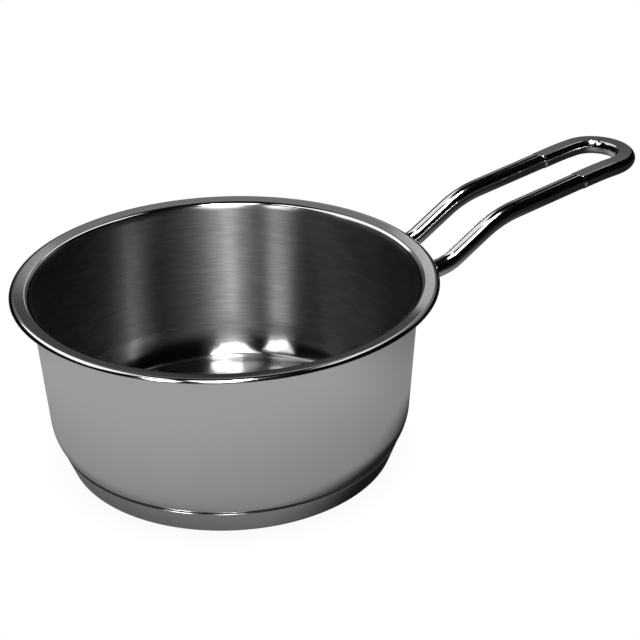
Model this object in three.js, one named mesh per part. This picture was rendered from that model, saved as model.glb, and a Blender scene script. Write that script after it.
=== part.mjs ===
import * as THREE from 'three';

// Saucepan: a drawn vessel with a flared pouring rim, a heat core shut in under the floor by
// a base cap, and a handle bent from one round rod and welded to the wall by its two ends.
// Lengths in millimetres, angles in degrees. Origin at the centre of the base, +Z up,
// the handle along +X.

// Vessel
const mouthRadius = 79.5;
const panHeight = 79.5;
const sheetThickness = 0.7;
const wallTaper = 4;
const cornerRadius = 20;
const heelRadius = 7.2;
const heelAngle = 50;

// Pouring rim
const rimRadius = 88.3;
const throatRadius = 3.4;
const rimRise = 7;
const edgeRadius = 2.2;
const edgeCurl = 58;

// Base
const capThickness = 0.7;
const capCorner = 3;
const capFlare = 21;
const coreThickness = 5.6;
const seamAngle = 39;

// Handle
const rodDiameter = 8;
const legSpacing = 29;
const shankReach = 13.3;
const shankDrop = 12.9;
const shankAngle = 10;
const riseAngle = 32;
const riseLength = 30;
const gripAngle = 9.4;
const gripLength = 51.7;
const loopLength = 12.6;
const firstBendRadius = 20;
const secondBendRadius = 47;
const droopRadius = 145;
const pressedLength = 20;
const pressedStep = 2.5;
const pressedThickness = 6.4;
const pressedWidth = 9.4;
const pressedSquareness = 3.4;

// Welds
const weldLeg = 2.6;

// Clearances
const bondGap = 0.15;
const seamGap = 0.3;
const weldGap = 0.3;

// Fineness
const turnSegments = 64;
const rodSides = 16;
const weldSides = 24;

const radians = THREE.MathUtils.degToRad;

// Sheet walked along its middle line: straight lengths and bends, each point with the
// direction towards the outer side of the sheet.
class SheetLine {
  constructor(radius, height, heading) {
    this.place = new THREE.Vector2(radius, height);
    this.heading = radians(heading);
    this.points = [];
    this.mark();
  }

  outward() {
    return new THREE.Vector2(Math.sin(this.heading), -Math.cos(this.heading));
  }

  mark() {
    this.points.push({ place: this.place.clone(), outward: this.outward() });
  }

  straight(length) {
    this.place.x += length * Math.cos(this.heading);
    this.place.y += length * Math.sin(this.heading);
    this.mark();
    return this;
  }

  bend(radius, heading, steps) {
    const side = Math.sign(radians(heading) - this.heading);
    const centre = this.place.clone().addScaledVector(this.outward(), -side * radius);
    const first = this.heading;
    for (let step = 1; step <= steps; step += 1) {
      this.heading = THREE.MathUtils.lerp(first, radians(heading), step / steps);
      this.place.copy(centre).addScaledVector(this.outward(), side * radius);
      this.mark();
    }
    return this;
  }

  // Section of the sheet: out along the outer side, round the edge, back along the inner side.
  section(thickness, edgeSteps) {
    const half = thickness / 2;
    const shifted = (point, amount) => point.place.clone().addScaledVector(point.outward, amount);
    const outer = this.points.map((point) => shifted(point, half));
    const inner = this.points.map((point) => shifted(point, -half)).reverse();
    const edge = [];
    for (let step = 1; step < edgeSteps; step += 1) {
      const turn = (Math.PI * step) / edgeSteps;
      const away = this.outward().rotateAround(new THREE.Vector2(), turn);
      edge.push(this.place.clone().addScaledVector(away, half));
    }
    return [...outer, ...edge, ...inner];
  }
}

// Run and rise of a bend between two headings.
function bendSpan(radius, from, to) {
  const side = Math.sign(to - from);
  const run = side * radius * (Math.sin(radians(to)) - Math.sin(radians(from)));
  const rise = side * radius * (Math.cos(radians(from)) - Math.cos(radians(to)));
  return new THREE.Vector2(run, rise);
}

function arcPoints(centre, radius, from, to, steps) {
  const points = [];
  for (let step = 0; step <= steps; step += 1) {
    const angle = radians(THREE.MathUtils.lerp(from, to, step / steps));
    points.push(new THREE.Vector2(radius * Math.cos(angle), radius * Math.sin(angle)).add(centre));
  }
  return points;
}

// Round body turned from a section in radius and height.
function turned(section) {
  const geometry = new THREE.LatheGeometry(section, turnSegments);
  geometry.rotateX(Math.PI / 2);
  return geometry;
}

// Vessel sizes that follow from the ones above
const halfSheet = sheetThickness / 2;
const floorUnderside = capThickness + coreThickness + 2 * bondGap;
const wallHeading = 90 - wallTaper;
const wallLean = Math.tan(radians(wallTaper));
const heelHeading = 90 - heelAngle;
const heelSpan = bendSpan(heelRadius - halfSheet, 0, heelHeading);
const cornerSpan = bendSpan(cornerRadius - halfSheet, heelHeading, wallHeading);
const throatBend = throatRadius - halfSheet;
const edgeBend = edgeRadius - halfSheet;
const throatSpan = bendSpan(throatBend, wallHeading, rimRise);
const edgeSpan = bendSpan(edgeBend, rimRise, -edgeCurl);

function wallMiddleRadius(height) {
  return mouthRadius + halfSheet - (panHeight - height) * wallLean;
}

function wallOuterRadius(height) {
  return wallMiddleRadius(height) + halfSheet / Math.cos(radians(wallTaper));
}

const floorMiddle = floorUnderside + halfSheet;
const cornerTop = floorMiddle + heelSpan.y + cornerSpan.y;
const floorRadius = wallMiddleRadius(cornerTop) - cornerSpan.x - heelSpan.x;
const heelCentre = new THREE.Vector2(floorRadius, floorUnderside + heelRadius);
const heelDirection = new THREE.Vector2(Math.sin(radians(heelHeading)), -Math.cos(radians(heelHeading)));
const cornerCentre = heelCentre.clone().addScaledVector(heelDirection, heelRadius - cornerRadius);

function vesselGeometry() {
  const crown = halfSheet + edgeBend * (1 - Math.cos(radians(rimRise)));
  const rimEnd = rimRadius - halfSheet - edgeSpan.x;
  const throatHeight = panHeight - crown - throatSpan.y;
  const ringRise = Math.sin(radians(rimRise));
  const ringRun = Math.cos(radians(rimRise)) - ringRise * wallLean;
  const ringLength = (rimEnd - throatSpan.x - wallMiddleRadius(throatHeight)) / ringRun;
  const throatStart = throatHeight - ringLength * ringRise;
  const wallLength = (throatStart - cornerTop) / Math.cos(radians(wallTaper));
  const line = new SheetLine(0, floorMiddle, 0)
    .straight(floorRadius)
    .bend(heelRadius - halfSheet, heelHeading, 3)
    .bend(cornerRadius - halfSheet, wallHeading, 6)
    .straight(wallLength)
    .bend(throatBend, rimRise, 5)
    .straight(ringLength)
    .bend(edgeBend, -edgeCurl, 4);
  return turned(line.section(sheetThickness, 4));
}

// Base cap: a shallow dish whose flared side ends in a lip just off the vessel's corner.
const capHeading = 90 - capFlare;
const capBend = capCorner - capThickness / 2;
const lipDistance = cornerRadius + seamGap + capThickness / 2;
const seamDirection = new THREE.Vector2(Math.cos(radians(seamAngle)), -Math.sin(radians(seamAngle)));
const lip = cornerCentre.clone().addScaledVector(seamDirection, lipDistance);
const capCornerSpan = bendSpan(capBend, 0, capHeading);
const capSideLength = (lip.y - capThickness / 2 - capCornerSpan.y) / Math.cos(radians(capFlare));
const capFlatRadius = lip.x - capSideLength * Math.sin(radians(capFlare)) - capCornerSpan.x;

function capGeometry() {
  const line = new SheetLine(0, capThickness / 2, 0)
    .straight(capFlatRadius)
    .bend(capBend, capHeading, 5)
    .straight(capSideLength);
  return turned(line.section(capThickness, 4));
}

// Heat core: a disc filling the space between the cap and the vessel's floor and corner.
function coreGeometry() {
  const top = arcPoints(heelCentre, heelRadius + bondGap, -heelAngle, -90, 4);
  const inset = capThickness + bondGap;
  const bottomCentre = new THREE.Vector2(capFlatRadius, capCorner);
  const bottom = arcPoints(bottomCentre, capCorner - inset, -90, -capFlare, 4);
  const last = bottom[bottom.length - 1];
  const climb = top[0].y - last.y;
  const side = new THREE.Vector2(last.x + climb * Math.tan(radians(capFlare)), top[0].y);
  const lowAxis = new THREE.Vector2(0, inset);
  const highAxis = new THREE.Vector2(0, floorUnderside - bondGap);
  return turned([lowAxis, ...bottom, side, ...top, highAxis]);
}

// Handle seen from the side: each piece has a length, a first heading and a last heading.
const halfSpacing = legSpacing / 2;
const rodRadius = rodDiameter / 2;

function bendTangent(radius, from, to) {
  return radius * Math.tan(Math.abs(radians(to - from)) / 2);
}

function bendLength(radius, from, to) {
  return radius * Math.abs(radians(to - from));
}

const firstTangent = bendTangent(firstBendRadius, shankAngle, riseAngle);
const secondTangent = bendTangent(secondBendRadius, riseAngle, gripAngle);
const firstBend = new THREE.Vector2(rimRadius + shankReach, panHeight - shankDrop);

// Distance along a line to the place where it leaves the wall, with a gap.
function wallDistance(start, direction, gap) {
  let near = -mouthRadius;
  let far = 0;
  const point = new THREE.Vector3();
  for (let step = 0; step < 60; step += 1) {
    const middle = (near + far) / 2;
    point.copy(start).addScaledVector(direction, middle);
    if (Math.hypot(point.x, point.y) > wallOuterRadius(point.z) + gap * Math.hypot(1, wallLean)) {
      far = middle;
    } else {
      near = middle;
    }
  }
  return far;
}

const shankDirection = new THREE.Vector3(Math.cos(radians(shankAngle)), 0, Math.sin(radians(shankAngle)));
const shankNormal = new THREE.Vector3(-shankDirection.z, 0, shankDirection.x);
const sideways = new THREE.Vector3(0, 1, 0);
const bendPoint = new THREE.Vector3(firstBend.x, halfSpacing, firstBend.y);
const shankLength = -wallDistance(bendPoint, shankDirection, weldGap);
const sidePieces = [
  { length: shankLength - firstTangent, from: shankAngle, to: shankAngle },
  { length: bendLength(firstBendRadius, shankAngle, riseAngle), from: shankAngle, to: riseAngle },
  { length: riseLength - firstTangent - secondTangent, from: riseAngle, to: riseAngle },
  { length: bendLength(secondBendRadius, riseAngle, gripAngle), from: riseAngle, to: gripAngle },
  { length: gripLength - secondTangent, from: gripAngle, to: gripAngle },
];
const straightEnd = sidePieces.reduce((sum, piece) => sum + piece.length, 0);
const loopCentre = straightEnd + loopLength;
const rodRoot = new THREE.Vector2(
  firstBend.x - shankLength * shankDirection.x,
  firstBend.y - shankLength * shankDirection.z,
);

// Place and heading of the side line at a distance along it from the wall.
function sideAt(distance) {
  const place = rodRoot.clone();
  let left = distance;
  for (const piece of sidePieces) {
    const used = Math.min(left, piece.length);
    const last = THREE.MathUtils.lerp(piece.from, piece.to, used / piece.length);
    const middle = radians((piece.from + last) / 2);
    const half = radians(last - piece.from) / 2;
    const chord = half === 0 ? used : (used * Math.sin(half)) / half;
    place.x += chord * Math.cos(middle);
    place.y += chord * Math.sin(middle);
    left -= used;
    if (left <= 0) {
      return { place, heading: radians(last) };
    }
  }
  const droop = left / droopRadius;
  const first = radians(gripAngle);
  place.x += droopRadius * (Math.sin(first) - Math.sin(first - droop));
  place.y += droopRadius * (Math.cos(first - droop) - Math.cos(first));
  return { place, heading: first - droop };
}

// Section of the rod, from round (0) to pressed flat (1).
function rodSection(pressed) {
  const halfWidth = THREE.MathUtils.lerp(rodRadius, pressedWidth / 2, pressed);
  const halfHeight = THREE.MathUtils.lerp(rodRadius, pressedThickness / 2, pressed);
  const power = 2 / THREE.MathUtils.lerp(2, pressedSquareness, pressed);
  const points = [];
  for (let side = 0; side < rodSides; side += 1) {
    const angle = (2 * Math.PI * side) / rodSides;
    const across = Math.cos(angle);
    const up = Math.sin(angle);
    points.push(new THREE.Vector2(
      halfWidth * Math.sign(across) * Math.abs(across) ** power,
      halfHeight * Math.sign(up) * Math.abs(up) ** power,
    ));
  }
  return points;
}

// Stations along one leg, then round the loop, then back along the other leg.
function rodStations() {
  const leg = [0, 0.4 * sidePieces[0].length];
  let start = 0;
  for (const piece of sidePieces) {
    const steps = piece.from === piece.to ? 1 : 6;
    for (let step = 1; step <= steps; step += 1) {
      leg.push(start + (piece.length * step) / steps);
    }
    start += piece.length;
  }
  const pressStart = loopCentre - pressedLength;
  const stepEnd = pressStart + pressedStep;
  leg.pop();
  leg.push(pressStart, stepEnd);
  const rest = loopCentre - stepEnd;
  for (let step = 1; step <= 3; step += 1) {
    leg.push(stepEnd + (rest * step) / 4);
  }
  const along = leg.map((distance) => ({
    distance,
    across: -halfSpacing,
    turn: 0,
    pressed: distance >= stepEnd ? 1 : 0,
  }));
  const loop = [];
  const loopSteps = 20;
  for (let step = 0; step <= loopSteps; step += 1) {
    const turn = (Math.PI * step) / loopSteps;
    loop.push({
      distance: loopCentre + halfSpacing * Math.sin(turn),
      across: -halfSpacing * Math.cos(turn),
      turn,
      pressed: 1,
    });
  }
  const back = along.map((station) => ({ ...station, across: halfSpacing, turn: Math.PI })).reverse();
  return [...along, ...loop, ...back];
}

function stationRing(station) {
  const side = sideAt(station.distance);
  const forward = new THREE.Vector3(Math.cos(side.heading), 0, Math.sin(side.heading));
  const upward = new THREE.Vector3(-forward.z, 0, forward.x);
  const across = sideways.clone().multiplyScalar(Math.cos(station.turn));
  across.addScaledVector(forward, -Math.sin(station.turn));
  const centre = new THREE.Vector3(side.place.x, station.across, side.place.y);
  return rodSection(station.pressed).map((point) => {
    const corner = centre.clone().addScaledVector(across, point.x).addScaledVector(upward, point.y);
    if (station.distance === 0) {
      corner.addScaledVector(shankDirection, shankLength);
      corner.addScaledVector(shankDirection, wallDistance(corner, shankDirection, weldGap));
    }
    return corner;
  });
}

// Closed body through a row of rings: ends shut by a fan, or the last ring joined to the first.
function lofted(rings, joined) {
  const count = rings[0].length;
  const corners = rings.flat();
  const faces = [];
  const spans = joined ? rings.length : rings.length - 1;
  for (let ring = 0; ring < spans; ring += 1) {
    const here = ring * count;
    const there = ((ring + 1) % rings.length) * count;
    for (let side = 0; side < count; side += 1) {
      const next = (side + 1) % count;
      faces.push(here + side, here + next, there + next);
      faces.push(here + side, there + next, there + side);
    }
  }
  if (!joined) {
    const last = (rings.length - 1) * count;
    for (let side = 1; side < count - 1; side += 1) {
      faces.push(0, side + 1, side);
      faces.push(last, last + side, last + side + 1);
    }
  }
  const geometry = new THREE.BufferGeometry().setFromPoints(corners);
  geometry.setIndex(faces);
  geometry.computeVertexNormals();
  return geometry;
}

function rodGeometry() {
  return lofted(rodStations().map(stationRing), false);
}

// Weld bead: a fillet laid round one end of the rod, between the rod and the wall.
function weldGeometry(side) {
  const inner = rodRadius + weldGap;
  const bead = [[0, 0], [0, 1], [0.4, 0.82], [0.78, 0.45], [1, 0]];
  const centre = new THREE.Vector3(firstBend.x, side * halfSpacing, firstBend.y);
  const rings = [];
  for (let step = 0; step < weldSides; step += 1) {
    const angle = (2 * Math.PI * step) / weldSides;
    const away = sideways.clone().multiplyScalar(Math.cos(angle));
    away.addScaledVector(shankNormal, Math.sin(angle));
    rings.push(bead.map(([out, lift]) => {
      const start = centre.clone().addScaledVector(away, inner + out * weldLeg);
      const back = wallDistance(start, shankDirection, weldGap);
      return start.addScaledVector(shankDirection, back + lift * weldLeg);
    }));
  }
  return lofted(rings, true);
}

function piece(name, geometry, color, roughness) {
  const material = new THREE.MeshStandardMaterial({ color, roughness, metalness: 1 });
  const mesh = new THREE.Mesh(geometry, material);
  mesh.name = name;
  return mesh;
}

const saucepan = new THREE.Group();
saucepan.name = 'saucepan';
saucepan.add(piece('pan_body', vesselGeometry(), 0xc4c6c8, 0.16));
saucepan.add(piece('heat_core', coreGeometry(), 0xd2d4d6, 0.4));
saucepan.add(piece('base_cap', capGeometry(), 0xb6b8ba, 0.22));
saucepan.add(piece('handle_rod', rodGeometry(), 0xbcbec0, 0.24));
saucepan.add(piece('weld_left', weldGeometry(1), 0x9a9a98, 0.45));
saucepan.add(piece('weld_right', weldGeometry(-1), 0x9a9a98, 0.45));

export default saucepan;
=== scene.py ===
"""Saucepan: turned steel vessel, capped base and bent rod handle, dressed for a studio picture."""

import logging
import math
from collections.abc import Callable
from dataclasses import dataclass, field
from enum import Enum

import bpy
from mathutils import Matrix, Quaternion, Vector


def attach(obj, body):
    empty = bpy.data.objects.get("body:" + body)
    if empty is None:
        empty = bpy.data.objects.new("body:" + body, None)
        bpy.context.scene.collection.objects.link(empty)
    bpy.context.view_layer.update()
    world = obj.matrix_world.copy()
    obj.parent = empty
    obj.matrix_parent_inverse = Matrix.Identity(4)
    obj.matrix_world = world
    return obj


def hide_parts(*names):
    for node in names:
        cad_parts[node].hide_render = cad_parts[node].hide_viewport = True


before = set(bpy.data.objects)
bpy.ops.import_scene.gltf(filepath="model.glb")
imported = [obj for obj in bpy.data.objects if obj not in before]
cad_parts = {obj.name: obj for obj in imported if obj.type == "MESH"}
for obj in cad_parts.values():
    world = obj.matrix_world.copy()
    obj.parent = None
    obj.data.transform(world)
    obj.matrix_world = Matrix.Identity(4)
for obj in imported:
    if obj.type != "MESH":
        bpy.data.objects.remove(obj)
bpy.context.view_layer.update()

MM = 0.001
IMAGE_PIXELS = 640
SENSOR_WIDTH = 36.0
SPIN_STEPS = 288
MERGE_DISTANCE = 0.002 * MM
HALVINGS = 50

# Shares of a straight at which a section keeps a point, close to its ends so that it shades flat.
STRAIGHT_SHARES = (0.01, 0.99, 1.0)
RING_SHARES = (0.05, 0.95, 1.0)
FLOOR_SHARES = (0.3, 0.6, 0.98, 1.0)
UNDERSIDE_SHARES = (0.3, 0.6, 0.99, 1.0)

# Limits on a part of a face's normal: the face turns that way at all, or lies level.
TURNED = 0.05
LEVEL = 0.99

# Metal surfaces: share of the relief in the gloss, levels between which the lines are shaded,
# the change from buffed to satin in polish heights, and the turn of the stretched highlights.
RELIEF_SHARE = 0.6
LINE_EDGES = (0.3, 0.7)
POLISH_BAND = (0.45, 1.25)
STRETCH_TURN = 0.25

Socket = bpy.types.NodeSocket

LOG = logging.getLogger("saucepan")


class Slot(Enum):
    """Material slots of the record."""

    VESSEL = "vessel_steel"
    CORE = "core_aluminium"
    CAP = "cap_steel"
    HANDLE = "handle_steel"
    WELD = "weld_steel"


class Leg(Enum):
    """The two legs of the handle, by the side of the middle plane they stand on."""

    LEFT = 1
    RIGHT = -1


class Element(Enum):
    """Kinds of mesh elements that are selected."""

    VERTEX = "VERT"
    EDGE = "EDGE"
    FACE = "FACE"


def deselect() -> None:
    """Clears the selection, so that the next operator acts on one piece only."""
    bpy.ops.object.select_all(action="DESELECT")


def make_active(piece: bpy.types.Object) -> None:
    """Selects one piece alone and makes it the active object.

    Args:
        piece: The object.
    """
    deselect()
    piece.select_set(True)
    bpy.context.view_layer.objects.active = piece


def start_point(name: str, place: Vector) -> bpy.types.Object:
    """Adds a mesh of one vertex and leaves it in edit mode, ready to be extruded.

    Args:
        name: Name of the new object.
        place: Where the vertex is.

    Returns:
        The new object, in edit mode.
    """
    deselect()
    bpy.ops.mesh.primitive_plane_add(size=MM, location=place)
    piece = bpy.context.object
    piece.name = name
    bpy.ops.object.transform_apply(location=True, rotation=True, scale=True)
    bpy.ops.object.mode_set(mode="EDIT")
    bpy.ops.mesh.select_mode(type="VERT")
    bpy.ops.mesh.select_all(action="SELECT")
    bpy.ops.mesh.merge(type="CENTER")
    return piece


def draw_line(name: str, places: list[Vector]) -> bpy.types.Object:
    """Extrudes a vertex from place to place and leaves the line in edit mode.

    Args:
        name: Name of the new object.
        places: Points of the line, in order.

    Returns:
        The new object, in edit mode.
    """
    piece = start_point(name, places[0])
    for here, there in zip(places, places[1:]):
        bpy.ops.mesh.extrude_vertices_move(TRANSFORM_OT_translate={"value": there - here})
    bpy.ops.mesh.select_all(action="SELECT")
    return piece


def turn_section(name: str, section: list[Vector]) -> bpy.types.Object:
    """Spins a section about the pan's axis into a closed round piece.

    Args:
        name: Name of the new object.
        section: Points in radius and height, from the axis round to the axis.

    Returns:
        The new object, in object mode.
    """
    piece = draw_line(name, [Vector((point.x, 0.0, point.y)) for point in section])
    bpy.ops.mesh.spin(steps=SPIN_STEPS, angle=2 * math.pi, center=(0, 0, 0), axis=(0, 0, 1))
    close_mesh()
    bpy.ops.object.mode_set(mode="OBJECT")
    bpy.ops.object.shade_smooth()
    return piece


def close_mesh() -> None:
    """Merges the doubles of the mesh in edit mode and turns its faces outwards."""
    bpy.ops.mesh.select_all(action="SELECT")
    bpy.ops.mesh.remove_doubles(threshold=MERGE_DISTANCE)
    bpy.ops.mesh.normals_make_consistent(inside=False)


def select_elements(piece: bpy.types.Object, kind: Element, wanted: Callable[[object], bool]) -> None:
    """Selects the elements of a piece that pass a test.

    Args:
        piece: The object, in edit mode.
        kind: Kind of element.
        wanted: A test that takes a vertex, an edge or a face.
    """
    bpy.ops.mesh.select_mode(type=kind.value)
    bpy.ops.mesh.select_all(action="DESELECT")
    bpy.ops.object.mode_set(mode="OBJECT")
    elements = {
        Element.VERTEX: piece.data.vertices,
        Element.EDGE: piece.data.edges,
        Element.FACE: piece.data.polygons,
    }
    for element in elements[kind]:
        element.select = wanted(element)
    bpy.ops.object.mode_set(mode="EDIT")


def select_vertices(piece: bpy.types.Object, wanted: Callable[[Vector], bool]) -> None:
    """Selects the vertices of a piece in edit mode by a test of their place."""
    select_elements(piece, Element.VERTEX, lambda vertex: wanted(vertex.co))


def dress(
    piece: bpy.types.Object,
    whole: bpy.types.Material,
    part: bpy.types.Material,
    on_part: Callable[[Vector, Vector], bool],
) -> None:
    """Gives a piece one material all over and another on the faces that pass a test.

    Args:
        piece: The object, in object mode.
        whole: Material of the whole piece.
        part: Material of the faces that pass the test.
        on_part: A test that takes a face's centre and normal.
    """
    piece.data.materials.append(whole)
    piece.data.materials.append(part)
    make_active(piece)
    bpy.ops.object.mode_set(mode="EDIT")
    select_elements(piece, Element.FACE, lambda face: on_part(face.center, face.normal))
    piece.active_material_index = piece.data.materials.find(part.name)
    bpy.ops.object.material_slot_assign()
    bpy.ops.object.mode_set(mode="OBJECT")


def report(piece: bpy.types.Object) -> None:
    """Reports a finished piece."""
    LOG.info("%s: %d faces", piece.name, len(piece.data.polygons))


class SheetLine:
    """Middle line of a bent sheet, walked in radius and height from the axis outwards."""

    def __init__(self, radius: float, height: float, heading: float) -> None:
        """Starts the line.

        Args:
            radius: Distance of the first point from the axis.
            height: Height of the first point.
            heading: First direction in degrees, 0 outwards and 90 upwards.
        """
        self.place = Vector((radius, height))
        self.heading = math.radians(heading)
        self.points: list[tuple[Vector, Vector]] = []
        self._mark()

    def _outward(self) -> Vector:
        """Direction towards the outer side of the sheet."""
        return Vector((math.sin(self.heading), -math.cos(self.heading)))

    def _mark(self) -> None:
        """Keeps the present point."""
        self.points.append((self.place.copy(), self._outward()))

    def straight(self, length: float, shares: tuple[float, ...] = STRAIGHT_SHARES) -> None:
        """Walks straight on.

        Args:
            length: Length of the straight.
            shares: Points to keep, as shares of the length.
        """
        ahead = Vector((math.cos(self.heading), math.sin(self.heading)))
        first = self.place.copy()
        for share in shares:
            self.place = first + ahead * length * share
            self._mark()

    def bend(self, radius: float, heading: float, steps: int) -> None:
        """Walks round a bend.

        Args:
            radius: Radius of the sheet's middle line.
            heading: Direction at the end of the bend, in degrees.
            steps: Number of chords.
        """
        first, last = self.heading, math.radians(heading)
        side = math.copysign(1.0, last - first)
        centre = self.place - self._outward() * side * radius
        for step in range(1, steps + 1):
            self.heading = first + (last - first) * step / steps
            self.place = centre + self._outward() * side * radius
            self._mark()

    def section(self, thickness: float, edge_steps: int = 10) -> list[Vector]:
        """Section of the sheet with a rounded edge, from the axis round to the axis.

        Args:
            thickness: Thickness of the sheet.
            edge_steps: Number of chords round the edge.

        Returns:
            Points in radius and height.
        """
        half = thickness / 2
        outer = [place + outward * half for place, outward in self.points]
        inner = [place - outward * half for place, outward in reversed(self.points)]
        ahead = Vector((math.cos(self.heading), math.sin(self.heading)))
        edge = []
        for step in range(1, edge_steps):
            turn = math.pi * step / edge_steps
            away = self._outward() * math.cos(turn) + ahead * math.sin(turn)
            edge.append(self.place + away * half)
        return outer + edge + inner


def bend_span(radius: float, first: float, last: float) -> Vector:
    """Run and rise of a bend.

    Args:
        radius: Radius of the bend.
        first: First heading in degrees.
        last: Last heading in degrees.

    Returns:
        Run and rise as a vector.
    """
    side = math.copysign(1.0, last - first)
    start, end = math.radians(first), math.radians(last)
    run = math.sin(end) - math.sin(start)
    rise = math.cos(start) - math.cos(end)
    return Vector((run, rise)) * side * radius


class Wiring:
    """Nodes and links of one material or node group."""

    def __init__(self, tree: bpy.types.NodeTree) -> None:
        """Takes the tree that is wired and empties it."""
        self.tree = tree
        tree.nodes.clear()

    def node(self, kind: str, **settings: object) -> bpy.types.Node:
        """Adds a node.

        Args:
            kind: Blender's type name of the node.
            settings: Properties to set on it.

        Returns:
            The new node.
        """
        made = self.tree.nodes.new(kind)
        for name, value in settings.items():
            setattr(made, name, value)
        return made

    def math(self, operation: str, *values: object) -> Socket:
        """Adds a Math node.

        Args:
            operation: Name of the operation.
            values: Numbers or output sockets for its inputs.

        Returns:
            Its output.
        """
        made = self.node("ShaderNodeMath", operation=operation)
        for socket, value in zip(made.inputs, values):
            self.feed(socket, value)
        return made.outputs[0]

    def feed(self, socket: Socket, value: object) -> None:
        """Links an output to a socket, or sets the socket to a plain value.

        Args:
            socket: Input that is fed.
            value: Output socket or plain value.
        """
        if isinstance(value, Socket):
            self.tree.links.new(value, socket)
        else:
            socket.default_value = value

    def spread(self, value: object, low: float, high: float) -> Socket:
        """Maps 0 to 1 onto a range.

        Args:
            value: Output socket that is mapped.
            low: Result at 0.
            high: Result at 1.

        Returns:
            The mapped output.
        """
        made = self.node("ShaderNodeMapRange")
        self.feed(made.inputs["Value"], value)
        made.inputs["To Min"].default_value = low
        made.inputs["To Max"].default_value = high
        return made.outputs["Result"]

    def step(self, value: object, first: float, last: float) -> Socket:
        """Rises smoothly from 0 to 1 as a value goes from one limit to the other.

        Args:
            value: Output socket that is tested.
            first: Value at which the result is 0.
            last: Value at which the result is 1.

        Returns:
            The smooth step.
        """
        made = self.node("ShaderNodeMapRange", interpolation_type="SMOOTHSTEP")
        self.feed(made.inputs["Value"], value)
        made.inputs["From Min"].default_value = first
        made.inputs["From Max"].default_value = last
        return made.outputs["Result"]

    def group(self, tree: bpy.types.NodeTree, **values: object) -> bpy.types.Node:
        """Places a node group.

        Args:
            tree: The group.
            values: Inputs by name, with underscores for spaces.

        Returns:
            The group's node.
        """
        made = self.node("ShaderNodeGroup", node_tree=tree)
        for name, value in values.items():
            self.feed(made.inputs[name.replace("_", " ")], value)
        return made


def new_group(
    name: str, inputs: dict[str, float], outputs: list[str]
) -> tuple[Wiring, dict[str, Socket], dict[str, Socket]]:
    """Starts a shader node group with a Vector input and named values.

    Args:
        name: Name of the group.
        inputs: Float inputs and their first values.
        outputs: Float outputs.

    Returns:
        The wiring, the group's input sockets by name and its output sockets by name.
    """
    tree = bpy.data.node_groups.new(name, "ShaderNodeTree")
    tree.interface.new_socket("Vector", in_out="INPUT", socket_type="NodeSocketVector")
    for title, value in inputs.items():
        socket = tree.interface.new_socket(title, in_out="INPUT", socket_type="NodeSocketFloat")
        socket.default_value = value
    for title in outputs:
        tree.interface.new_socket(title, in_out="OUTPUT", socket_type="NodeSocketFloat")
    wiring = Wiring(tree)
    entry = wiring.node("NodeGroupInput")
    leave = wiring.node("NodeGroupOutput")
    given = {socket.name: socket for socket in entry.outputs if socket.name}
    asked = {socket.name: socket for socket in leave.inputs if socket.name}
    return wiring, given, asked


class Effects:
    """Surface effects that several finishes share, each a node group."""

    LINE_DETAIL = 3.0

    def __init__(self) -> None:
        """Builds the groups."""
        self.turned_lines = self._turned_lines()
        self.haze = self._clouds("haze", size=25.0, detail=4.0, roughness=0.55)
        self.grain = self._clouds("grain", size=0.4, detail=3.0, roughness=0.5)

    def _turned_lines(self) -> bpy.types.NodeTree:
        """Fine lines that run round the pan's axis, as left by turning and buffing.

        Returns:
            The node group.
        """
        wiring, given, asked = new_group("turned_lines", {"Lines per mm": 2.0, "Breaks": 8.0}, ["Lines"])
        parts = wiring.node("ShaderNodeSeparateXYZ")
        wiring.feed(parts.inputs[0], given["Vector"])
        across, deep, high = parts.outputs
        level = wiring.node("ShaderNodeCombineXYZ")
        wiring.feed(level.inputs[0], across)
        wiring.feed(level.inputs[1], deep)
        length = wiring.node("ShaderNodeVectorMath", operation="LENGTH")
        wiring.feed(length.inputs[0], level.outputs[0])
        radius = length.outputs["Value"]
        dense = wiring.math("MULTIPLY", given["Lines per mm"], 1.0 / MM)
        near_axis = wiring.math("MAXIMUM", radius, MM)
        joined = wiring.node("ShaderNodeCombineXYZ")
        wiring.feed(joined.inputs[0], wiring.math("MULTIPLY", radius, dense))
        wiring.feed(joined.inputs[1], wiring.math("MULTIPLY", high, dense))
        turn_x = wiring.math("DIVIDE", across, near_axis)
        turn_y = wiring.math("DIVIDE", deep, near_axis)
        wiring.feed(joined.inputs[2], wiring.math("MULTIPLY", turn_x, given["Breaks"]))
        noise = wiring.node("ShaderNodeTexNoise", noise_dimensions="4D")
        wiring.feed(noise.inputs["Vector"], joined.outputs[0])
        wiring.feed(noise.inputs["W"], wiring.math("MULTIPLY", turn_y, given["Breaks"]))
        noise.inputs["Scale"].default_value = 1.0
        noise.inputs["Detail"].default_value = self.LINE_DETAIL
        wiring.feed(asked["Lines"], noise.outputs[0])
        return wiring.tree

    def _clouds(self, name: str, size: float, detail: float, roughness: float) -> bpy.types.NodeTree:
        """Soft patches or grain of one size.

        Args:
            name: Name of the group.
            size: First size of the patches in millimetres.
            detail: Number of finer layers.
            roughness: Strength of the finer layers.

        Returns:
            The node group.
        """
        wiring, given, asked = new_group(name, {"Size mm": size}, ["Clouds"])
        noise = wiring.node("ShaderNodeTexNoise")
        wiring.feed(noise.inputs["Vector"], given["Vector"])
        wiring.feed(noise.inputs["Scale"], wiring.math("DIVIDE", 1.0 / MM, given["Size mm"]))
        noise.inputs["Detail"].default_value = detail
        noise.inputs["Roughness"].default_value = roughness
        wiring.feed(asked["Clouds"], noise.outputs[0])
        return wiring.tree


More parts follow.
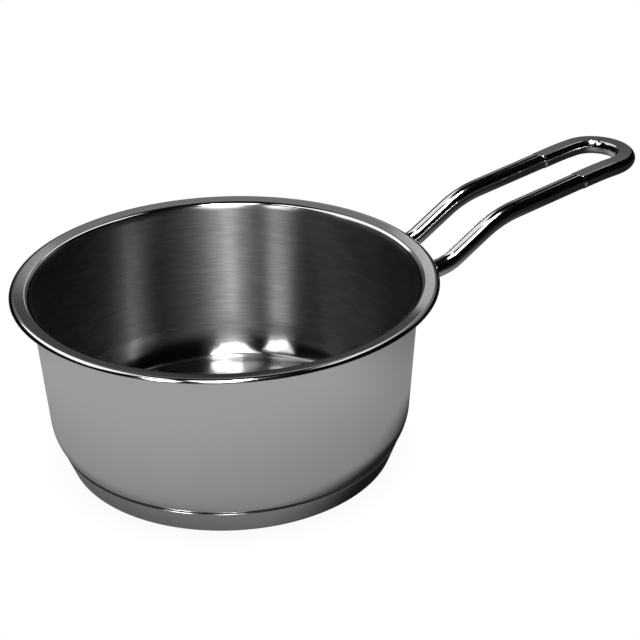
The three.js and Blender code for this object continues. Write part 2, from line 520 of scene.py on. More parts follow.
@dataclass(frozen=True)
class MetalFinish:
    """A metal surface: colour, gloss, and the share of each surface effect.

    Attributes:
        name: Name of the material.
        color: Grey level of the bare metal.
        smooth: Lowest roughness.
        rough: Highest roughness.
        lines_per_mm: Fineness of the turned lines, 0 for none.
        grain_size: Size of the grain in millimetres, 0 for none.
        relief_height: Height of the lines' or the grain's relief, 0 for none.
        stretch: How far highlights spread across the turned lines.
        line_shade: How far the turned lines darken the metal.
        polished: Roughness below the polish height, where the piece was buffed brighter.
        polish_height: Height under which the piece is buffed, 0 for none.
    """

    name: str
    color: float
    smooth: float
    rough: float
    lines_per_mm: float = 0.0
    grain_size: float = 0.0
    relief_height: float = 0.0
    stretch: float = 0.0
    line_shade: float = 0.0
    polished: float = 0.0
    polish_height: float = 0.0

    def build(self, effects: Effects) -> bpy.types.Material:
        """Builds the material.

        Args:
            effects: The shared surface effects.

        Returns:
            The new material.
        """
        material = bpy.data.materials.new(self.name)
        material.use_nodes = True
        wiring = Wiring(material.node_tree)
        output = wiring.node("ShaderNodeOutputMaterial")
        shader = wiring.node("ShaderNodeBsdfPrincipled")
        wiring.feed(output.inputs["Surface"], shader.outputs[0])
        shader.inputs["Base Color"].default_value = (self.color, self.color, self.color, 1.0)
        shader.inputs["Metallic"].default_value = 1.0
        if self.stretch:
            shader.inputs["Anisotropic"].default_value = self.stretch
            shader.inputs["Anisotropic Rotation"].default_value = STRETCH_TURN
        place = wiring.node("ShaderNodeTexCoord").outputs["Object"]
        mask = wiring.group(effects.haze, Vector=place).outputs["Clouds"]
        relief = self._relief(wiring, effects, place)
        if relief:
            patches = wiring.math("MULTIPLY", mask, 1 - RELIEF_SHARE)
            mask = wiring.math("MULTIPLY_ADD", relief, RELIEF_SHARE, patches)
        if self.relief_height:
            bump = wiring.node("ShaderNodeBump")
            bump.inputs["Strength"].default_value = 1.0
            bump.inputs["Distance"].default_value = self.relief_height
            wiring.feed(bump.inputs["Height"], relief)
            wiring.feed(shader.inputs["Normal"], bump.outputs[0])
        rough = wiring.spread(mask, self.smooth, self.rough)
        if self.polish_height:
            rough = self._buffed(wiring, place, rough)
        wiring.feed(shader.inputs["Roughness"], rough)
        if self.line_shade:
            wiring.feed(shader.inputs["Base Color"], self._shaded(wiring, relief))
        return material

    def _relief(self, wiring: Wiring, effects: Effects, place: Socket) -> Socket | None:
        """Adds the turned lines or the grain.

        Args:
            wiring: Wiring of the material.
            effects: The shared surface effects.
            place: Coordinates on the piece.

        Returns:
            The relief, or None where the metal has neither.
        """
        if self.lines_per_mm:
            lines = wiring.group(effects.turned_lines, Vector=place, Lines_per_mm=self.lines_per_mm)
            return lines.outputs["Lines"]
        if self.grain_size:
            return wiring.group(effects.grain, Vector=place, Size_mm=self.grain_size).outputs["Clouds"]
        return None

    def _buffed(self, wiring: Wiring, place: Socket, rough: Socket) -> Socket:
        """Makes the surface smoother below the polish height.

        Args:
            wiring: Wiring of the material.
            place: Coordinates on the piece.
            rough: Roughness above the polish height.

        Returns:
            The roughness of the whole piece.
        """
        parts = wiring.node("ShaderNodeSeparateXYZ")
        wiring.feed(parts.inputs[0], place)
        lower, upper = (share * self.polish_height for share in POLISH_BAND)
        above = wiring.step(parts.outputs["Z"], lower, upper)
        extra = wiring.math("SUBTRACT", rough, self.polished)
        return wiring.math("MULTIPLY_ADD", extra, above, self.polished)

    def _shaded(self, wiring: Wiring, lines: Socket) -> Socket:
        """Darkens the metal in the hollows of the turned lines.

        Args:
            wiring: Wiring of the material.
            lines: Relief of the lines.

        Returns:
            The colour.
        """
        raised = wiring.step(lines, *LINE_EDGES)
        level = wiring.spread(raised, self.color * (1 - self.line_shade), self.color)
        shade = wiring.node("ShaderNodeCombineColor")
        for socket in shade.inputs[:3]:
            wiring.feed(socket, level)
        return shade.outputs[0]


MIRROR_STEEL = MetalFinish("mirror_steel", color=0.85, smooth=0.03, rough=0.10)
SATIN_STEEL = MetalFinish(
    "satin_turned_steel",
    color=0.37,
    smooth=0.28,
    rough=0.34,
    lines_per_mm=1.6,
    stretch=1.0,
    line_shade=0.22,
    polished=0.11,
    polish_height=20.0 * MM,
)
CAP_STEEL = MetalFinish("cap_steel", color=0.62, smooth=0.06, rough=0.16)
UNDERSIDE_STEEL = MetalFinish(
    "turned_underside_steel",
    color=0.52,
    smooth=0.18,
    rough=0.34,
    lines_per_mm=1.2,
    relief_height=0.006 * MM,
    stretch=0.7,
)
ROD_STEEL = MetalFinish("rod_steel", color=0.68, smooth=0.04, rough=0.10)
PRESSED_STEEL = MetalFinish(
    "pressed_steel",
    color=0.38,
    smooth=0.24,
    rough=0.40,
    grain_size=0.4,
    relief_height=0.02 * MM,
)
WELD_STEEL = MetalFinish(
    "weld_steel",
    color=0.42,
    smooth=0.22,
    rough=0.42,
    grain_size=0.6,
    relief_height=0.03 * MM,
)
CORE_ALUMINIUM = MetalFinish(
    "core_aluminium",
    color=0.72,
    smooth=0.3,
    rough=0.45,
    grain_size=0.4,
    relief_height=0.01 * MM,
)


@dataclass
class Vessel:
    """Drawn steel vessel with a flared pouring rim."""

    mouth_radius: float = 79.5 * MM
    height: float = 79.5 * MM
    sheet: float = 0.7 * MM
    taper: float = 4.0
    corner_radius: float = 20.0 * MM
    heel_radius: float = 7.2 * MM
    # Angle from upright at which the heel and the corner meet.
    heel_angle: float = 50.0
    floor_underside: float = 6.6 * MM
    rim_radius: float = 88.3 * MM
    throat_radius: float = 3.4 * MM
    rim_rise: float = 7.0
    edge_radius: float = 2.2 * MM
    edge_curl: float = 58.0
    # Height above the throat's lower end at which the satin inside ends.
    satin_top: float = 2.2 * MM
    # Chords of the heel, the corner, the throat and the edge.
    bend_steps: tuple[int, int, int, int] = (10, 20, 16, 12)

    @property
    def lean(self) -> float:
        """Change of the wall's radius with height."""
        return math.tan(math.radians(self.taper))

    def wall_middle(self, height: float) -> float:
        """Radius of the wall's middle at a height."""
        return self.mouth_radius + self.sheet / 2 - (self.height - height) * self.lean

    def wall_outer(self, height: float) -> float:
        """Radius of the wall's outer side at a height."""
        return self.wall_middle(height) + self.sheet / 2 / math.cos(math.radians(self.taper))

    def corner(self) -> tuple[Vector, float, float]:
        """Centre of the bottom corner, height of its upper end, and radius of the flat floor.

        Returns:
            The centre in radius and height, the height and the radius.
        """
        half = self.sheet / 2
        heading = 90.0 - self.heel_angle
        heel = bend_span(self.heel_radius - half, 0.0, heading)
        span = bend_span(self.corner_radius - half, heading, 90.0 - self.taper)
        top = self.floor_underside + half + heel.y + span.y
        floor = self.wall_middle(top) - span.x - heel.x
        away = Vector((math.sin(math.radians(heading)), -math.cos(math.radians(heading))))
        heel_centre = Vector((floor, self.floor_underside + self.heel_radius))
        return heel_centre - away * (self.corner_radius - self.heel_radius), top, floor

    def throat_bottom(self) -> float:
        """Height at which the wall ends and the throat of the rim begins."""
        return self._rim()[0]

    def _rim(self) -> tuple[float, float]:
        """Height of the throat's lower end, and the length of the rim's flat ring.

        Returns:
            The height and the length.
        """
        throat = self.throat_radius - self.sheet / 2
        edge = self.edge_radius - self.sheet / 2
        rise = math.sin(math.radians(self.rim_rise))
        throat_span = bend_span(throat, 90.0 - self.taper, self.rim_rise)
        edge_span = bend_span(edge, self.rim_rise, -self.edge_curl)
        crown = self.sheet / 2 + edge * (1 - math.cos(math.radians(self.rim_rise)))
        level = self.height - crown - throat_span.y
        run = math.cos(math.radians(self.rim_rise)) - rise * self.lean
        ring_end = self.rim_radius - self.sheet / 2 - edge_span.x
        ring = (ring_end - throat_span.x - self.wall_middle(level)) / run
        return level - ring * rise, ring

    def section(self) -> list[Vector]:
        """Section of the vessel.

        Returns:
            Points in radius and height, from the axis round to the axis.
        """
        _, corner_top, floor = self.corner()
        heel_steps, corner_steps, throat_steps, edge_steps = self.bend_steps
        throat_bottom, ring = self._rim()
        wall = (throat_bottom - corner_top) / math.cos(math.radians(self.taper))
        half = self.sheet / 2
        line = SheetLine(0.0, self.floor_underside + half, 0.0)
        line.straight(floor, FLOOR_SHARES)
        line.bend(self.heel_radius - half, 90.0 - self.heel_angle, heel_steps)
        line.bend(self.corner_radius - half, 90.0 - self.taper, corner_steps)
        line.straight(wall)
        line.bend(self.throat_radius - half, self.rim_rise, throat_steps)
        line.straight(ring, RING_SHARES)
        line.bend(self.edge_radius - half, -self.edge_curl, edge_steps)
        return line.section(self.sheet)

    def is_inside(self, centre: Vector, normal: Vector) -> bool:
        """Tells whether a face lies on the turned inside, which ends in the throat of the rim.

        Args:
            centre: Centre of the face.
            normal: Outward normal of the face.

        Returns:
            True for the floor, corner and wall inside, up to where the satin ends.
        """
        radius = math.hypot(centre.x, centre.y)
        inward = -(normal.x * centre.x + normal.y * centre.y) / max(radius, MM)
        faces_in = inward > TURNED or normal.z > TURNED
        top = self.throat_bottom() + self.satin_top
        return faces_in and self.floor_underside + self.sheet / 2 < centre.z < top

    def build(self, effects: Effects) -> None:
        """Builds and dresses the vessel.

        Args:
            effects: The shared surface effects.
        """
        piece = turn_section("vessel_shell", self.section())
        dress(piece, MIRROR_STEEL.build(effects), SATIN_STEEL.build(effects), self.is_inside)
        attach(piece, "root")
        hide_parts("pan_body")
        report(piece)


@dataclass
class Base:
    """Base under the vessel: the hidden heat core and the steel cap over it."""

    vessel: Vessel
    sheet: float = 0.7 * MM
    corner_radius: float = 3.0 * MM
    flare: float = 21.0
    # Place of the lip on the vessel's corner, in degrees below level.
    seam_angle: float = 39.0
    seam_gap: float = 0.1 * MM
    bend_steps: int = 14

    def section(self) -> list[Vector]:
        """Section of the cap in radius and height.

        Returns:
            Points from the axis round to the axis.
        """
        centre, _, _ = self.vessel.corner()
        away = self.vessel.corner_radius + self.seam_gap + self.sheet / 2
        seam = math.radians(self.seam_angle)
        lip = centre + Vector((math.cos(seam), -math.sin(seam))) * away
        bend = self.corner_radius - self.sheet / 2
        span = bend_span(bend, 0.0, 90.0 - self.flare)
        side = (lip.y - self.sheet / 2 - span.y) / math.cos(math.radians(self.flare))
        flat = lip.x - side * math.sin(math.radians(self.flare)) - span.x
        line = SheetLine(0.0, self.sheet / 2, 0.0)
        line.straight(flat, UNDERSIDE_SHARES)
        line.bend(bend, 90.0 - self.flare, self.bend_steps)
        line.straight(side, RING_SHARES)
        return line.section(self.sheet)

    def is_underside(self, centre: Vector, normal: Vector) -> bool:
        """Tells whether a face lies on the flat underside."""
        return normal.z < -LEVEL and centre.z < self.sheet / 2

    def build(self, effects: Effects) -> None:
        """Builds the cap and dresses it and the core.

        Args:
            effects: The shared surface effects.
        """
        piece = turn_section("base_cap_shell", self.section())
        dress(piece, CAP_STEEL.build(effects), UNDERSIDE_STEEL.build(effects), self.is_underside)
        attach(piece, "root")
        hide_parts("base_cap")
        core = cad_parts["heat_core"]
        core.data.materials.clear()
        core.data.materials.append(CORE_ALUMINIUM.build(effects))
        report(piece)
        report(core)


@dataclass
class Bend:
    """One stretch of the handle's side line: its length and its first and last heading in degrees."""

    length: float
    first: float
    last: float


@dataclass
class RodHandle:
    """Handle bent from one rod, with a pressed loop end, and the welds at its two ends."""

    vessel: Vessel
    rod_radius: float = 4.0 * MM
    half_spacing: float = 14.5 * MM
    shank_reach: float = 13.3 * MM
    shank_drop: float = 12.9 * MM
    shank_angle: float = 10.0
    rise_angle: float = 32.0
    rise_length: float = 30.0 * MM
    grip_angle: float = 9.4
    grip_length: float = 51.7 * MM
    loop_length: float = 12.6 * MM
    first_radius: float = 20.0 * MM
    second_radius: float = 47.0 * MM
    droop_radius: float = 145.0 * MM
    pressed_length: float = 20.0 * MM
    pressed_thickness: float = 6.4 * MM
    pressed_widening: float = 1.175
    pressed_slant: float = 0.35
    # A face this near to the pressed level counts as flat.
    press_depth: float = 0.05 * MM
    rod_sides: int = 96
    # Cuts along the bar, in two rounds.
    rod_steps: tuple[int, int] = (99, 4)
    # Length along the bar above which an edge isn't part of a ring.
    shortest_run: float = 0.01 * MM
    path_step: float = 0.7 * MM
    path_smoothness: int = 4
    # Length of rod inside the wall before its ends are cut.
    spare: float = 8.0 * MM
    weld_radius: float = 1.5 * MM
    # Share of its radius by which the bead's middle stands off the rod.
    weld_lap: float = 0.6
    # Depth inside the wall at which the bead is cut off.
    weld_sink: float = 0.3 * MM
    weld_ripples: int = 20
    # Level of a wave round the rod above which the bead is raised.
    ripple_edge: float = 0.2
    ripple_height: float = 0.12 * MM
    # Segments round the rod and round the bead.
    weld_segments: tuple[int, int] = (160, 20)
    weld_crease: float = 50.0
    bends: list[Bend] = field(init=False)
    shank_length: float = field(init=False)
    loop_start: float = field(init=False)

    def __post_init__(self) -> None:
        """Works out the side line's stretches, starting inside the wall."""
        first = self.first_radius * math.tan(math.radians(self.rise_angle - self.shank_angle) / 2)
        second = self.second_radius * math.tan(math.radians(self.rise_angle - self.grip_angle) / 2)
        self.shank_length = self._shank_length()
        self.bends = [
            Bend(self.spare + self.shank_length - first, self.shank_angle, self.shank_angle),
            self._arc(self.first_radius, self.shank_angle, self.rise_angle),
            Bend(self.rise_length - first - second, self.rise_angle, self.rise_angle),
            self._arc(self.second_radius, self.rise_angle, self.grip_angle),
            Bend(self.grip_length - second, self.grip_angle, self.grip_angle),
        ]
        self.loop_start = sum(bend.length for bend in self.bends) + self.loop_length

    def _arc(self, radius: float, first: float, last: float) -> Bend:
        """Stretch of a bend of a given radius."""
        return Bend(radius * abs(math.radians(last - first)), first, last)

    def first_bend(self) -> Vector:
        """Corner of the first bend, in reach and height."""
        return Vector((self.vessel.rim_radius + self.shank_reach, self.vessel.height - self.shank_drop))

    def shank_direction(self) -> Vector:
        """Direction of the rod where it leaves the wall, in reach and height."""
        angle = math.radians(self.shank_angle)
        return Vector((math.cos(angle), math.sin(angle)))

    def _shank_length(self) -> float:
        """Distance from the wall to the corner of the first bend, along the rod's axis.

        Returns:
            The distance, found by halving.
        """
        near, far = 0.0, self.vessel.mouth_radius
        for _ in range(HALVINGS):
            middle = (near + far) / 2
            place = self.first_bend() - self.shank_direction() * middle
            if math.hypot(place.x, self.half_spacing) > self.vessel.wall_outer(place.y):
                near = middle
            else:
                far = middle
        return near

    def root(self, leg: Leg) -> tuple[Vector, Vector]:
        """Point where a leg's axis meets the wall, and the wall's outward normal there.

        Args:
            leg: Which leg.

        Returns:
            The point and the normal.
        """
        side = self.first_bend() - self.shank_direction() * self.shank_length
        place = Vector((side.x, leg.value * self.half_spacing, side.y))
        around = math.atan2(place.y, place.x)
        tilt = math.radians(self.vessel.taper)
        level = Vector((math.cos(around), math.sin(around), 0.0))
        return place, level * math.cos(tilt) - Vector((0, 0, math.sin(tilt)))

    def side_place(self, distance: float) -> Vector:
        """Place on the side line at a distance along it.

        Args:
            distance: Distance from the spare end inside the wall.

        Returns:
            Reach and height.
        """
        place = self.first_bend() - self.shank_direction() * (self.shank_length + self.spare)
        left = distance
        for bend in self.bends:
            used = min(left, bend.length)
            last = bend.first + (bend.last - bend.first) * used / bend.length
            middle = math.radians(bend.first + last) / 2
            half = math.radians(last - bend.first) / 2
            chord = used * (math.sin(half) / half if half else 1.0)
            place = place + Vector((math.cos(middle), math.sin(middle))) * chord
            left -= used
            if left <= 0:
                return place
        first = math.radians(self.grip_angle)
        last = first - left / self.droop_radius
        run = math.sin(first) - math.sin(last)
        rise = math.cos(last) - math.cos(first)
        return place + Vector((run, rise)) * self.droop_radius

    def centre_line(self) -> list[Vector]:
        """Axis of the rod: out along the right leg, round the loop, back along the left leg.

        Returns:
            Points of the axis.
        """
        flat: list[tuple[float, float]] = []
        steps = math.ceil(self.loop_start / self.path_step)
        for step in range(steps):
            flat.append((self.loop_start * step / steps, -self.half_spacing))
        turns = math.ceil(math.pi * self.half_spacing / self.path_step)
        for step in range(turns + 1):
            turn = math.pi * step / turns
            ahead = self.loop_start + self.half_spacing * math.sin(turn)
            flat.append((ahead, -self.half_spacing * math.cos(turn)))
        for step in range(steps - 1, -1, -1):
            flat.append((self.loop_start * step / steps, self.half_spacing))
        sides = [(self.side_place(distance), across) for distance, across in flat]
        return [Vector((side.x, across, side.y)) for side, across in sides]

    def straight_bar(self, length: float) -> bpy.types.Object:
        """Straight round bar along X, cut into short rings.

        Args:
            length: Length of the bar.

        Returns:
            The bar, in edit mode.
        """
        deselect()
        bpy.ops.mesh.primitive_cylinder_add(
            vertices=self.rod_sides,
            radius=self.rod_radius,
            depth=length,
            location=(length / 2, 0, 0),
            rotation=(0, math.pi / 2, 0),
        )
        bar = bpy.context.object
        bar.name = "handle_loop"
        bpy.ops.object.transform_apply(location=True, rotation=True, scale=True)
        bpy.ops.object.mode_set(mode="EDIT")

        def runs_along(edge: bpy.types.MeshEdge) -> bool:
            """Tells whether an edge runs along the bar."""
            first, last = (bar.data.vertices[index].co.x for index in edge.vertices)
            return abs(last - first) > self.shortest_run

        for cuts in self.rod_steps:
            select_elements(bar, Element.EDGE, runs_along)
            bpy.ops.mesh.subdivide(number_cuts=cuts)
        return bar

    def is_pressed(self, place: Vector, length: float) -> bool:
        """Tells whether a place on the straight bar lies in its pressed middle."""
        half_loop = self.pressed_length + math.pi * self.half_spacing / 2
        return abs(place.x + self.pressed_slant * place.y - length / 2) < half_loop

    def press_loop(self, bar: bpy.types.Object, length: float) -> None:
        """Presses the middle of the straight bar flat above and below, and widens it.

        Args:
            bar: The bar, in edit mode.
            length: Length of the bar.
        """
        level = self.pressed_thickness / 2
        middle = (length / 2, 0, 0)
        select_vertices(bar, lambda place: self.is_pressed(place, length))
        bpy.ops.transform.resize(value=(1, self.pressed_widening, 1), center_override=middle)
        for side in (1, -1):
            select_vertices(bar, lambda place: self.is_pressed(place, length) and side * place.z > level)
            bpy.ops.transform.resize(value=(1, 1, 0), center_override=(length / 2, 0, side * level))

    def bend_bar(self, bar: bpy.types.Object, line: list[Vector]) -> None:
        """Bends the straight bar along its centre line.

        Args:
            bar: The bar, in object mode.
            line: The rod's axis.
        """
        path = draw_line("handle_axis", line)
        bpy.ops.object.mode_set(mode="OBJECT")
        bpy.ops.object.convert(target="CURVE")
        path = bpy.context.object
        bpy.ops.object.mode_set(mode="EDIT")
        bpy.ops.curve.select_all(action="SELECT")
        bpy.ops.curve.spline_type_set(type="NURBS")
        bpy.ops.object.mode_set(mode="OBJECT")
        path.data.splines[0].use_endpoint_u = True
        path.data.dimensions = "3D"
        path.data.twist_mode = "Z_UP"
        path.data.resolution_u = self.path_smoothness
        make_active(bar)
        bend = bar.modifiers.new("bend", "CURVE")
        bend.object = path
        bend.deform_axis = "POS_X"
        bpy.ops.object.modifier_apply(modifier=bend.name)
        bpy.data.objects.remove(path)

    def cut_ends(self, bar: bpy.types.Object) -> None:
        """Cuts both ends of the bent bar to the wall.

        Args:
            bar: The bar, in object mode.
        """
        make_active(bar)
        bpy.ops.object.mode_set(mode="EDIT")
        for leg in Leg:
            place, normal = self.root(leg)
            limit = place.x + 2 * self.rod_radius
            select_vertices(bar, lambda at: at.y * leg.value > 0 and at.x < limit)
            bpy.ops.mesh.bisect(plane_co=place, plane_no=normal, use_fill=True, clear_inner=True)
        bpy.ops.object.mode_set(mode="OBJECT")

    def build_rod(self, effects: Effects) -> None:
        """Builds and dresses the rod.

        Args:
            effects: The shared surface effects.
        """
        line = self.centre_line()
        length = sum((there - here).length for here, there in zip(line, line[1:]))
        bar = self.straight_bar(length)
        self.press_loop(bar, length)
        bpy.ops.object.mode_set(mode="OBJECT")
        level = self.pressed_thickness / 2

        def on_flat(centre: Vector, normal: Vector) -> bool:
            """Tells whether a face lies on one of the two pressed flats."""
            is_level = abs(normal.z) > LEVEL and abs(abs(centre.z) - level) < self.press_depth
            return is_level and self.is_pressed(centre, length)

        dress(bar, ROD_STEEL.build(effects), PRESSED_STEEL.build(effects), on_flat)
        self.bend_bar(bar, line)
        self.cut_ends(bar)
        make_active(bar)
        bpy.ops.object.shade_smooth()
        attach(bar, "root")
        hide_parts("handle_rod")
        report(bar)

    def build_weld(self, leg: Leg, material: bpy.types.Material) -> None:
        """Builds and dresses the weld round one end of the rod.

        Args:
            leg: Which leg.
            material: Finish of the weld.
        """
        place, normal = self.root(leg)
        around_rod, around_bead = self.weld_segments
        deselect()
        bpy.ops.mesh.primitive_torus_add(
            location=place,
            rotation=normal.to_track_quat("Z", "Y").to_euler(),
            major_segments=around_rod,
            minor_segments=around_bead,
            major_radius=self.rod_radius + self.weld_lap * self.weld_radius,
            minor_radius=self.weld_radius,
        )
        piece = bpy.context.object
        piece.name = f"weld_bead_{leg.name.lower()}"
        bpy.ops.object.transform_apply(location=True, rotation=True, scale=True)
        across = Vector((0, 0, 1)).cross(normal).normalized()
        upward = normal.cross(across)

        def on_ripple(at: Vector) -> bool:
            """Tells whether a place on the bead lies on a raised ripple."""
            turn = math.atan2((at - place).dot(upward), (at - place).dot(across))
            return math.cos(turn * self.weld_ripples) > self.ripple_edge

        bpy.ops.object.mode_set(mode="EDIT")
        select_vertices(piece, on_ripple)
        bpy.ops.transform.shrink_fatten(value=self.ripple_height)
        bpy.ops.mesh.select_all(action="SELECT")
        inner = place - normal * self.weld_sink
        bpy.ops.mesh.bisect(plane_co=inner, plane_no=normal, use_fill=True, clear_inner=True)
        bpy.ops.object.mode_set(mode="OBJECT")
        bpy.ops.object.shade_smooth_by_angle(angle=math.radians(self.weld_crease))
        piece.data.materials.append(material)
        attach(piece, "root")
        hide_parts(f"weld_{leg.name.lower()}")
        report(piece)

    def build(self, effects: Effects) -> None:
        """Builds the rod and its two welds.

        Args:
            effects: The shared surface effects.
        """
        self.build_rod(effects)
        weld = WELD_STEEL.build(effects)
        for leg in Leg:
            self.build_weld(leg, weld)


@dataclass(frozen=True)
class StripLight:
    """A strip light high above the pan, placed as seen from the camera.

    Lengths are shares of the light's height above the floor.

    Attributes:
        right: Distance of its middle to the right of the pan.
        front: Distance of its middle towards the camera.
        half_width: Half its width.
        half_length: Half its length, towards the camera.
        brightness: Radiance of the light.
        slant: Degrees by which its near end swings to the left.
        blur: Width of its soft edge.
    """

    right: float
    front: float
    half_width: float
    half_length: float
    brightness: float
    slant: float = 0.0
    blur: float = 0.04


@dataclass(frozen=True)
class FloorSpot:
    """A round spot on the floor, placed as seen from the camera.

    Attributes:
        right: Distance of its middle to the right of the pan's axis.
        front: Distance of its middle towards the camera.
        near: Radius within which it is strongest.
        far: Radius at which it ends.
    """

    right: float
    front: float
    near: float
    far: float


@dataclass(frozen=True)
class FloorShade(FloorSpot):
    """A spot of shade.

    Attributes:
        dark: Share of the floor's light that is left in it.
    """

    dark: float


@dataclass
class Studio:
    """Floor, lights and camera."""

    camera_place: Vector = field(default_factory=lambda: Vector((-0.28150, -0.56459, 0.37769)))
    camera_aim: Vector = field(default_factory=lambda: Vector((0.05245, 0.01338, 0.040)))
    camera_roll: float = -0.96
    focal_pixels: float = 1691.9
    floor_size: float = 6.0
    floor_drop: float = 0.2 * MM
    white: float = 1.0
    contact_shade: float = 0.93
    contact_reach: float = 12.0 * MM
    contact_samples: int = 8
    # Brightness of the floor in reflections, inside and outside the pools of light.
    floor_bright: float = 0.385
    floor_dark: float = 0.02
    pools: tuple[FloorSpot, ...] = (
        FloorSpot(-27.0 * MM, 80.0 * MM, 150.0 * MM, 300.0 * MM),
        FloorSpot(0.0, -300.0 * MM, 140.0 * MM, 260.0 * MM),
    )
    shades: tuple[FloorShade, ...] = (
        FloorShade(32.5 * MM, 0.0, 51.0 * MM, 77.0 * MM, 0.06),
        FloorShade(-6.0 * MM, -8.0 * MM, 66.0 * MM, 88.0 * MM, 0.50),
        FloorShade(18.0 * MM, 0.0, 70.0 * MM, 170.0 * MM, 0.66),
    )
    room_dark: float = 0.002
    # Upward share of the lowest direction that still meets the level of the lights.
    lowest_rise: float = 0.01
    lights: tuple[StripLight, ...] = (
        StripLight(0.05, 0.22, 0.05, 0.12, 76.0),
        StripLight(-0.05, 0.46, 0.05, 0.12, 68.0),
        StripLight(-0.055, 0.44, 0.145, 0.40, 4.2),
        StripLight(-0.10, 1.50, 0.30, 0.50, 0.4),
        StripLight(-0.51, 0.60, 0.06, 0.12, 27.0, slant=28.0),
        StripLight(-0.76, 0.81, 0.06, 0.12, 16.0, slant=28.0),
        StripLight(-0.60, 0.62, 0.16, 0.34, 2.5, slant=28.0),
        StripLight(-0.95, 1.28, 0.20, 0.40, 1.0, slant=28.0),
        StripLight(0.37, -0.62, 0.08, 0.36, 1.2),
        StripLight(0.34, -1.20, 0.10, 0.20, 0.8),
        StripLight(-0.65, -0.80, 0.33, 0.75, 1.1),
        StripLight(-0.31, -0.08, 0.06, 0.10, 2.0),
        StripLight(0.10, -2.10, 0.10, 0.45, 0.38, blur=0.08),
        StripLight(0.0, -1.55, 0.90, 0.50, 0.12, blur=0.4),
        StripLight(0.0, -2.40, 1.40, 1.50, 0.057, blur=0.6),
    )

    def build_camera(self) -> None:
        """Adds the camera at the solved place."""
        deselect()
        bpy.ops.object.camera_add(location=self.camera_place)
        camera = bpy.context.object
        camera.name = "studio_camera"
        look = (self.camera_aim - self.camera_place).to_track_quat("-Z", "Y")
        roll = Quaternion((0, 0, 1), math.radians(self.camera_roll))
        camera.rotation_mode = "QUATERNION"
        camera.rotation_quaternion = look @ roll
        camera.data.sensor_width = SENSOR_WIDTH
        camera.data.lens = self.focal_pixels * SENSOR_WIDTH / IMAGE_PIXELS
        bpy.context.scene.camera = camera

    def _two_faced(self, wiring: Wiring, seen: object, reflected: object, kind: str) -> Socket:
        """Mixes a surface that the camera sees with the one that reflections see.

        Args:
            wiring: Wiring of the material or world.
            seen: Strength towards the camera.
            reflected: Strength towards everything else.
            kind: Type name of the emitting node.

        Returns:
            The mixed shader.
        """
        path = wiring.node("ShaderNodeLightPath").outputs["Is Camera Ray"]
        mix = wiring.node("ShaderNodeMixShader")
        wiring.feed(mix.inputs[0], path)
        for socket, strength in ((mix.inputs[1], reflected), (mix.inputs[2], seen)):
            glow = wiring.node(kind)
            glow.inputs["Color"].default_value = (1.0, 1.0, 1.0, 1.0)
            wiring.feed(glow.inputs["Strength"], strength)
            wiring.feed(socket, glow.outputs[0])
        return mix.outputs[0]

    def front(self) -> Vector:
        """Level direction from the pan towards the camera."""
        return Vector((self.camera_place.x, self.camera_place.y, 0)).normalized()

    def right(self) -> Vector:
        """Level direction to the right of the pan, as the camera sees it."""
        return Vector((0, 0, 1)).cross(self.front())

    def _distance(self, wiring: Wiring, place: Socket, spot: FloorSpot) -> Socket:
        """Distance of each point of the floor from the middle of a spot.

        Args:
            wiring: Wiring of the floor's material.
            place: Coordinates on the floor.
            spot: The spot.

        Returns:
            The distance.
        """
        away = wiring.node("ShaderNodeVectorMath", operation="DISTANCE")
        wiring.feed(away.inputs[0], place)
        away.inputs[1].default_value = self.right() * spot.right + self.front() * spot.front
        return away.outputs["Value"]

    def build_floor(self) -> None:
        """Adds the pale floor, with a soft contact shade under the pan."""
        deselect()
        bpy.ops.mesh.primitive_plane_add(size=self.floor_size, location=(0, 0, -self.floor_drop))
        floor = bpy.context.object
        floor.name = "studio_floor"
        material = bpy.data.materials.new("pale_floor")
        material.use_nodes = True
        wiring = Wiring(material.node_tree)
        output = wiring.node("ShaderNodeOutputMaterial")
        contact = wiring.node("ShaderNodeAmbientOcclusion", samples=self.contact_samples)
        contact.inputs["Distance"].default_value = self.contact_reach
        seen = wiring.spread(contact.outputs["AO"], self.contact_shade, self.white)
        place = wiring.node("ShaderNodeTexCoord").outputs["Object"]
        lit = 0.0
        for pool in self.pools:
            inside = wiring.step(self._distance(wiring, place, pool), pool.far, pool.near)
            lit = wiring.math("MAXIMUM", inside, lit)
        reflected = wiring.spread(lit, self.floor_dark, self.floor_bright)
        for shade in self.shades:
            clear = wiring.step(self._distance(wiring, place, shade), shade.near, shade.far)
            reflected = wiring.math("MULTIPLY", reflected, wiring.spread(clear, shade.dark, 1.0))
        surface = self._two_faced(wiring, seen, reflected, "ShaderNodeEmission")
        wiring.feed(output.inputs["Surface"], surface)
        floor.data.materials.append(material)

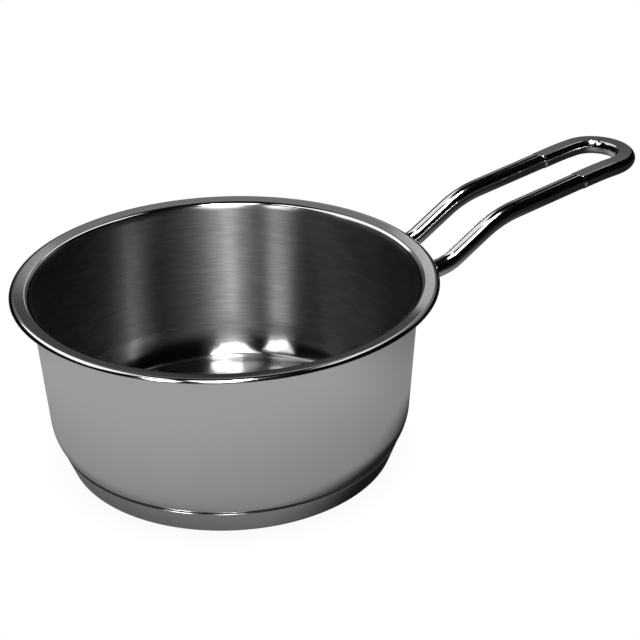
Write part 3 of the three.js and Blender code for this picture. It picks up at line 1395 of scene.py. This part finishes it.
    def _strip(self, wiring: Wiring, spot: list[Socket], strip: StripLight) -> Socket:
        """Brightness of one strip light.

        Args:
            wiring: Wiring of the world.
            spot: Where a direction meets the lights' level, to the right and to the front.
            strip: The light.

        Returns:
            Its radiance in each direction.
        """
        cosine = math.cos(math.radians(strip.slant))
        sine = math.sin(math.radians(strip.slant))
        aside = wiring.math("SUBTRACT", spot[0], strip.right)
        ahead = wiring.math("SUBTRACT", spot[1], strip.front)
        across = wiring.math("MULTIPLY_ADD", ahead, sine, wiring.math("MULTIPLY", aside, cosine))
        along = wiring.math("MULTIPLY_ADD", aside, -sine, wiring.math("MULTIPLY", ahead, cosine))
        soft = strip.blur / 2
        light = strip.brightness
        for distance, half in ((across, strip.half_width), (along, strip.half_length)):
            inside = wiring.step(wiring.math("ABSOLUTE", distance), half + soft, half - soft)
            light = wiring.math("MULTIPLY", inside, light)
        return light

    def build_room(self) -> None:
        """Sets the surroundings: a dim room with strip lights, which the camera sees as plain white."""
        world = bpy.data.worlds.new("studio_room")
        bpy.context.scene.world = world
        world.use_nodes = True
        wiring = Wiring(world.node_tree)
        output = wiring.node("ShaderNodeOutputWorld")
        direction = wiring.node("ShaderNodeTexCoord").outputs["Generated"]
        shares = []
        for axis in (self.right(), self.front(), Vector((0, 0, 1))):
            share = wiring.node("ShaderNodeVectorMath", operation="DOT_PRODUCT")
            wiring.feed(share.inputs[0], direction)
            share.inputs[1].default_value = axis
            shares.append(share.outputs["Value"])
        upward = wiring.math("MAXIMUM", shares[2], self.lowest_rise)
        spot = [wiring.math("DIVIDE", share, upward) for share in shares[:2]]
        light = self.room_dark
        for strip in self.lights:
            light = wiring.math("ADD", self._strip(wiring, spot, strip), light)
        surface = self._two_faced(wiring, self.white, light, "ShaderNodeBackground")
        wiring.feed(output.inputs["Surface"], surface)
        LOG.info("studio_room: %d strip lights", len(self.lights))

    def build(self) -> None:
        """Builds the whole studio."""
        self.build_camera()
        self.build_floor()
        self.build_room()
        bpy.context.scene.view_settings.view_transform = "Standard"
        bpy.context.scene.view_settings.look = "None"


def main() -> None:
    """Builds the pan's pieces in order, then the studio."""
    logging.basicConfig(level=logging.INFO, format="%(name)s: %(message)s")
    effects = Effects()
    vessel = Vessel()
    vessel.build(effects)
    Base(vessel).build(effects)
    RodHandle(vessel).build(effects)
    Studio().build()


if __name__ == "__main__":
    main()
